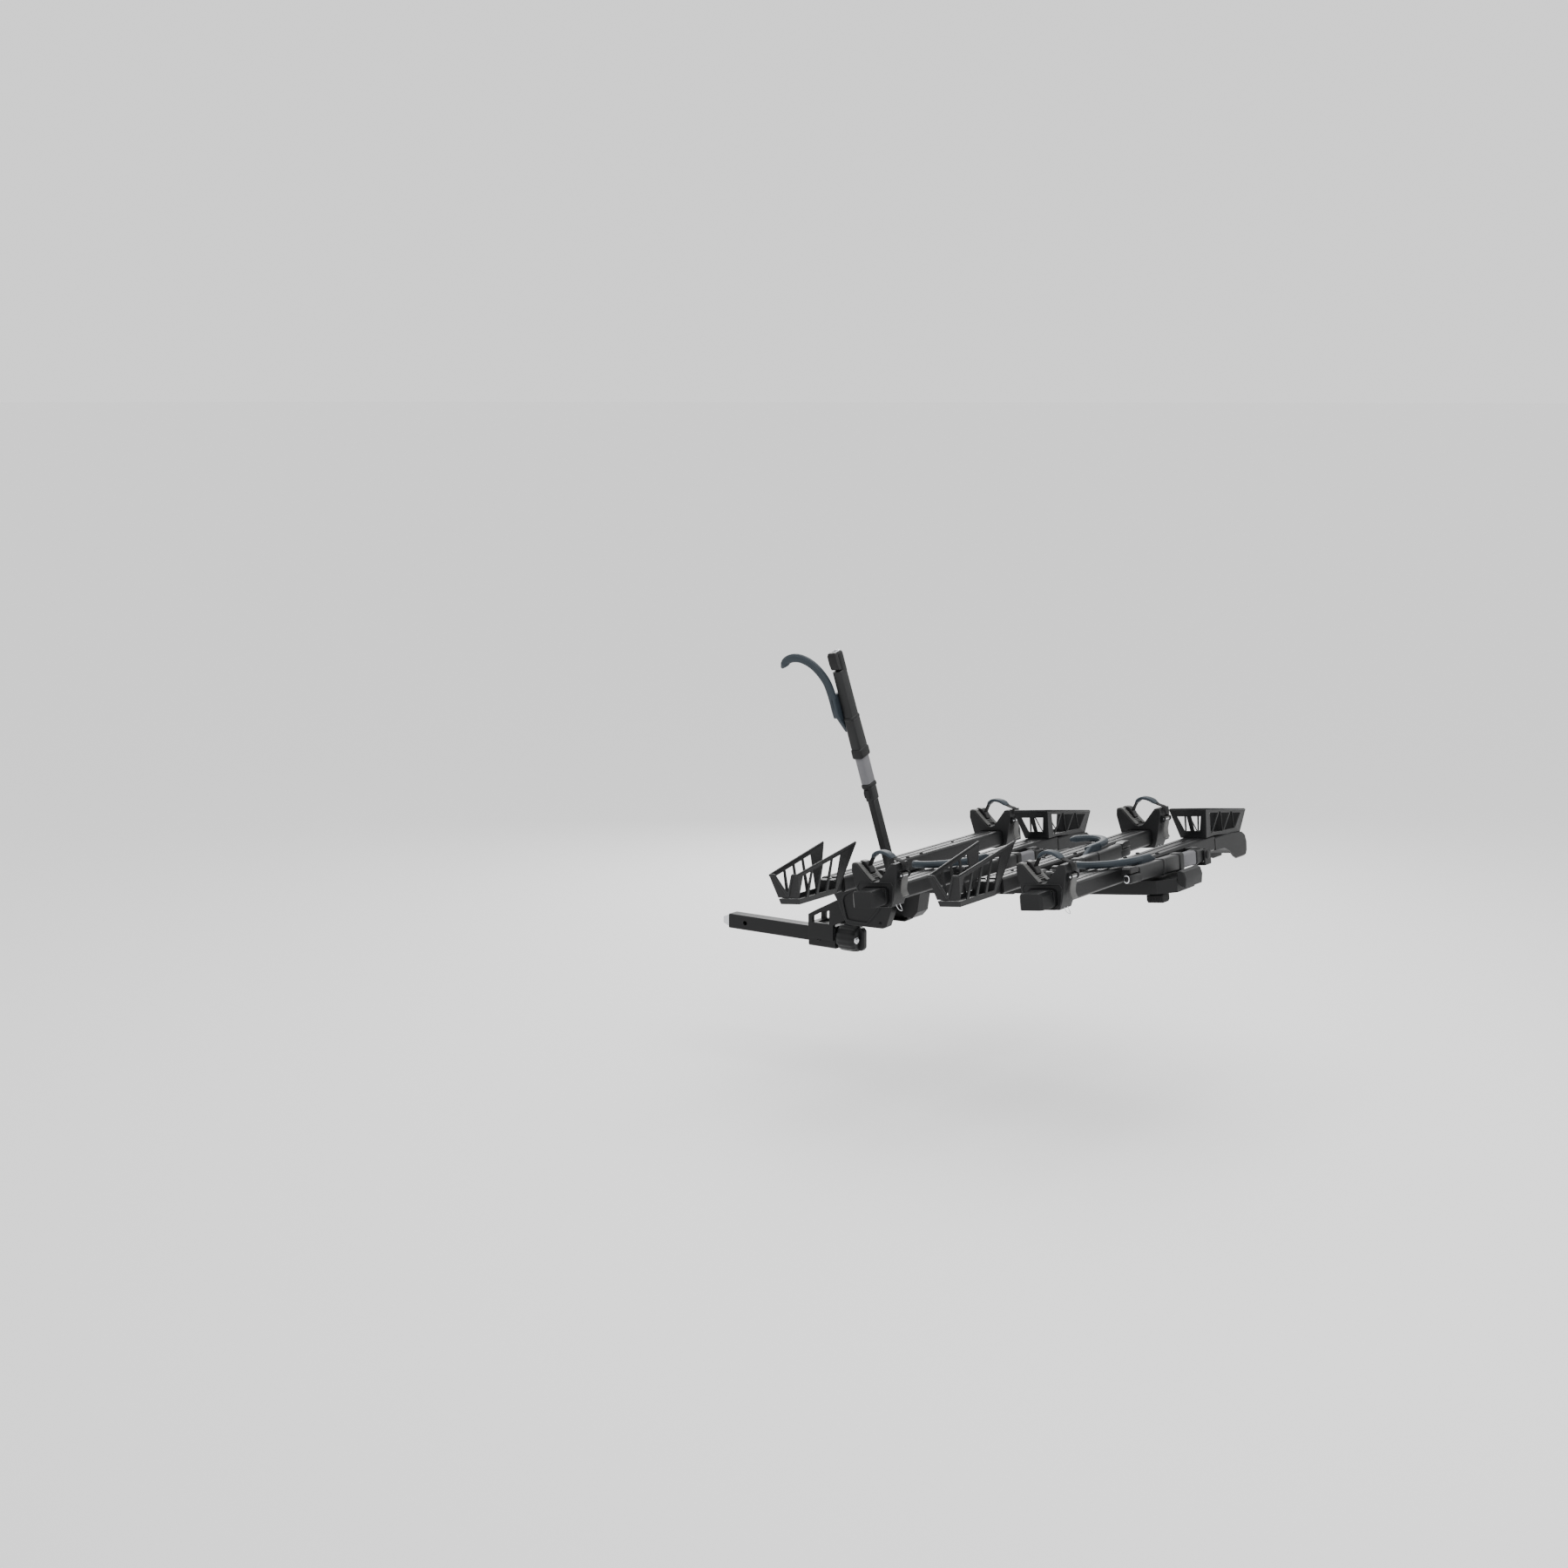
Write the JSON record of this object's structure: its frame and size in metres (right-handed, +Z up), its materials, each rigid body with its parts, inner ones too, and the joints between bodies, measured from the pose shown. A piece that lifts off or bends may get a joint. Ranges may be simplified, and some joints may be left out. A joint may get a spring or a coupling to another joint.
{
  "type": "hitch mounted bike rack",
  "caption": "Folding platform rack for bicycles with tilting spine, wheel baskets, strapped wheel holders and hooked arms, on a square hitch tube",
  "frame": {"origin": "on the hitch tube's axis at the centre of the hitch pin hole", "axes": "+X to the vehicle's right, +Y forward along the hitch tube, +Z up; the trays lie along X behind the vehicle"},
  "size_m": [1.4166, 1.7893, 1.0818],
  "materials": {
    "frame_black": "black powder coat, fine satin texture",
    "steel_black": "black powder coated steel",
    "black_plastic": "moulded black plastic, fine grain",
    "sleeve_grey": "dark grey satin anodised",
    "pad_blue_grey": "blue-grey soft moulding over a metal core",
    "buckle_grey": "grey moulded plastic",
    "rubber_black": "black rubber",
    "bright_steel": "bright plated steel"
  },
  "bodies": {
    "root": {"stinger": "steel_black", "hitch_bracket": "steel_black", "pivot_pin": "bright_steel"},
    "wedge": {"expansion_wedge": "bright_steel"},
    "knob": {"clamp_knob": "black_plastic"},
    "lock": {"lock_core": "bright_steel"},
    "rack": {"base_spine": "frame_black", "side_cover_right": "black_plastic", "side_cover_left": "black_plastic", "addon_spine": "frame_black", "rear_foot": "rubber_black", "tray_beam_1": "frame_black", "end_cap_1": "black_plastic", "wheel_basket_1": "black_plastic", "arm_bracket_1": "steel_black", "arm_pin_1": "bright_steel", "tray_beam_2": "frame_black", "end_cap_2": "black_plastic", "wheel_basket_2": "black_plastic", "arm_bracket_2": "steel_black", "arm_pin_2": "bright_steel", "tray_beam_3": "frame_black", "end_cap_3": "black_plastic", "wheel_basket_3": "black_plastic", "arm_bracket_3": "steel_black", "arm_pin_3": "bright_steel", "tray_beam_4": "frame_black", "end_cap_4": "black_plastic", "wheel_basket_4": "black_plastic", "arm_bracket_4": "steel_black", "arm_pin_4": "bright_steel"},
    "tilt_handle": {"tilt_lever": "black_plastic"},
    "holder_1": {"wheel_holder_1": "black_plastic"},
    "strap_1": {"wheel_strap_1": "rubber_black"},
    "buckle_1": {"strap_buckle_1": "buckle_grey"},
    "arm_1": {"arm_tube_1": "sleeve_grey"},
    "sleeve_1": {"arm_sleeve_1": "sleeve_grey", "arm_hook_1": "pad_blue_grey"},
    "lever_1": {"release_lever_1": "black_plastic"},
    "holder_2": {"wheel_holder_2": "black_plastic"},
    "strap_2": {"wheel_strap_2": "rubber_black"},
    "buckle_2": {"strap_buckle_2": "buckle_grey"},
    "arm_2": {"arm_tube_2": "sleeve_grey"},
    "sleeve_2": {"arm_sleeve_2": "sleeve_grey", "arm_hook_2": "pad_blue_grey"},
    "lever_2": {"release_lever_2": "black_plastic"},
    "holder_3": {"wheel_holder_3": "black_plastic"},
    "strap_3": {"wheel_strap_3": "rubber_black"},
    "buckle_3": {"strap_buckle_3": "buckle_grey"},
    "arm_3": {"arm_tube_3": "sleeve_grey"},
    "sleeve_3": {"arm_sleeve_3": "sleeve_grey", "arm_hook_3": "pad_blue_grey"},
    "lever_3": {"release_lever_3": "black_plastic"},
    "holder_4": {"wheel_holder_4": "black_plastic"},
    "strap_4": {"wheel_strap_4": "rubber_black"},
    "buckle_4": {"strap_buckle_4": "buckle_grey"},
    "arm_4": {"arm_tube_4": "sleeve_grey"},
    "sleeve_4": {"arm_sleeve_4": "sleeve_grey", "arm_hook_4": "pad_blue_grey"},
    "lever_4": {"release_lever_4": "black_plastic"}
  },
  "joints": [
    {"name": "rack_tilt", "type": "hinge", "parent": "root", "child": "rack", "pos_m": [0, -0.51006, 0.1493], "axis": [1, 0, 0], "range_deg": [-84, 38]},
    {"name": "tilt_lever_pull", "type": "hinge", "parent": "rack", "child": "tilt_handle", "pos_m": [0, -1.66319, 0.37717], "axis": [1, 0, 0], "range_deg": [-20, 0], "stiffness_Nm_per_rad": 4, "springref_deg": 11.46},
    {"name": "knob_turn", "type": "hinge", "parent": "root", "child": "knob", "pos_m": [0, -0.43, 0], "axis": [0, 1, 0], "range_deg": [0, 720]},
    {"name": "wedge_slide", "type": "slide", "parent": "root", "child": "wedge", "axis": [0, 1, 0], "range_m": [0, 0.0121]},
    {"name": "lock_turn", "type": "hinge", "parent": "knob", "child": "lock", "pos_m": [-0.027, -0.47, 0], "axis": [0, 1, 0], "range_deg": [0, 90]},
    {"name": "arm_fold_1", "type": "hinge", "parent": "rack", "child": "arm_1", "pos_m": [-0.231, -0.73965, 0.28589], "axis": [0, -0.9942, 0.108], "range_deg": [-104.9, 13.6]},
    {"name": "arm_slide_1", "type": "slide", "parent": "arm_1", "child": "sleeve_1", "axis": [-0.2823, 0.1036, 0.9537], "range_m": [-0.262, 0]},
    {"name": "release_1", "type": "hinge", "parent": "sleeve_1", "child": "lever_1", "pos_m": [-0.44444, -0.66515, 0.97166], "axis": [0, -0.9942, 0.108], "range_deg": [0, 12], "stiffness_Nm_per_rad": 1, "springref_deg": -17.19},
    {"name": "holder_slide_1", "type": "slide", "parent": "rack", "child": "holder_1", "axis": [1, 0, 0], "range_m": [-0.15, 0]},
    {"name": "strap_open_1", "type": "hinge", "parent": "holder_1", "child": "strap_1", "pos_m": [0.596, -0.59991, 0.35923], "axis": [1, 0, 0], "range_deg": [-60, 0]},
    {"name": "buckle_lift_1", "type": "hinge", "parent": "holder_1", "child": "buckle_1", "pos_m": [0.596, -0.72755, 0.35097], "axis": [1, 0, 0], "range_deg": [-100, 0]},
    {"name": "arm_fold_2", "type": "hinge", "parent": "rack", "child": "arm_2", "pos_m": [0.231, -1.02795, 0.31721], "axis": [0, 0.9942, -0.108], "range_deg": [0, 118.5]},
    {"name": "arm_slide_2", "type": "slide", "parent": "arm_2", "child": "sleeve_2", "axis": [-0.9997, 0.0028, 0.026], "range_m": [0, 0.262]},
    {"name": "release_2", "type": "hinge", "parent": "sleeve_2", "child": "lever_2", "pos_m": [-0.22858, -1.02557, 0.33912], "axis": [0, 0.9942, -0.108], "range_deg": [0, 12], "stiffness_Nm_per_rad": 1, "springref_deg": -17.19},
    {"name": "holder_slide_2", "type": "slide", "parent": "rack", "child": "holder_2", "axis": [-1, 0, 0], "range_m": [-0.15, 0]},
    {"name": "strap_open_2", "type": "hinge", "parent": "holder_2", "child": "strap_2", "pos_m": [-0.596, -0.88821, 0.39055], "axis": [1, 0, 0], "range_deg": [-60, 0]},
    {"name": "buckle_lift_2", "type": "hinge", "parent": "holder_2", "child": "buckle_2", "pos_m": [-0.596, -1.01585, 0.38229], "axis": [1, 0, 0], "range_deg": [-100, 0]},
    {"name": "arm_fold_3", "type": "hinge", "parent": "rack", "child": "arm_3", "pos_m": [-0.231, -1.31626, 0.34853], "axis": [0, -0.9942, 0.108], "range_deg": [0, 118.5]},
    {"name": "arm_slide_3", "type": "slide", "parent": "arm_3", "child": "sleeve_3", "axis": [0.9997, 0.0028, 0.026], "range_m": [0, 0.262]},
    {"name": "release_3", "type": "hinge", "parent": "sleeve_3", "child": "lever_3", "pos_m": [0.22858, -1.31388, 0.37044], "axis": [0, -0.9942, 0.108], "range_deg": [0, 12], "stiffness_Nm_per_rad": 1, "springref_deg": -17.19},
    {"name": "holder_slide_3", "type": "slide", "parent": "rack", "child": "holder_3", "axis": [1, 0, 0], "range_m": [-0.15, 0]},
    {"name": "strap_open_3", "type": "hinge", "parent": "holder_3", "child": "strap_3", "pos_m": [0.596, -1.17652, 0.42187], "axis": [1, 0, 0], "range_deg": [-60, 0]},
    {"name": "buckle_lift_3", "type": "hinge", "parent": "holder_3", "child": "buckle_3", "pos_m": [0.596, -1.30416, 0.41361], "axis": [1, 0, 0], "range_deg": [-100, 0]},
    {"name": "arm_fold_4", "type": "hinge", "parent": "rack", "child": "arm_4", "pos_m": [0.231, -1.60456, 0.37985], "axis": [0, 0.9942, -0.108], "range_deg": [0, 118.5]},
    {"name": "arm_slide_4", "type": "slide", "parent": "arm_4", "child": "sleeve_4", "axis": [-0.9997, 0.0028, 0.026], "range_m": [0, 0.262]},
    {"name": "release_4", "type": "hinge", "parent": "sleeve_4", "child": "lever_4", "pos_m": [-0.22858, -1.60218, 0.40176], "axis": [0, 0.9942, -0.108], "range_deg": [0, 12], "stiffness_Nm_per_rad": 1, "springref_deg": -17.19},
    {"name": "holder_slide_4", "type": "slide", "parent": "rack", "child": "holder_4", "axis": [-1, 0, 0], "range_m": [-0.15, 0]},
    {"name": "strap_open_4", "type": "hinge", "parent": "holder_4", "child": "strap_4", "pos_m": [-0.596, -1.46482, 0.45319], "axis": [1, 0, 0], "range_deg": [-60, 0]},
    {"name": "buckle_lift_4", "type": "hinge", "parent": "holder_4", "child": "buckle_4", "pos_m": [-0.596, -1.59246, 0.44493], "axis": [1, 0, 0], "range_deg": [-100, 0]}
  ],
  "couplings": [
    {"joint": "wedge_slide", "follows": "knob_turn", "m_per_rad": 0.00095493}
  ]
}
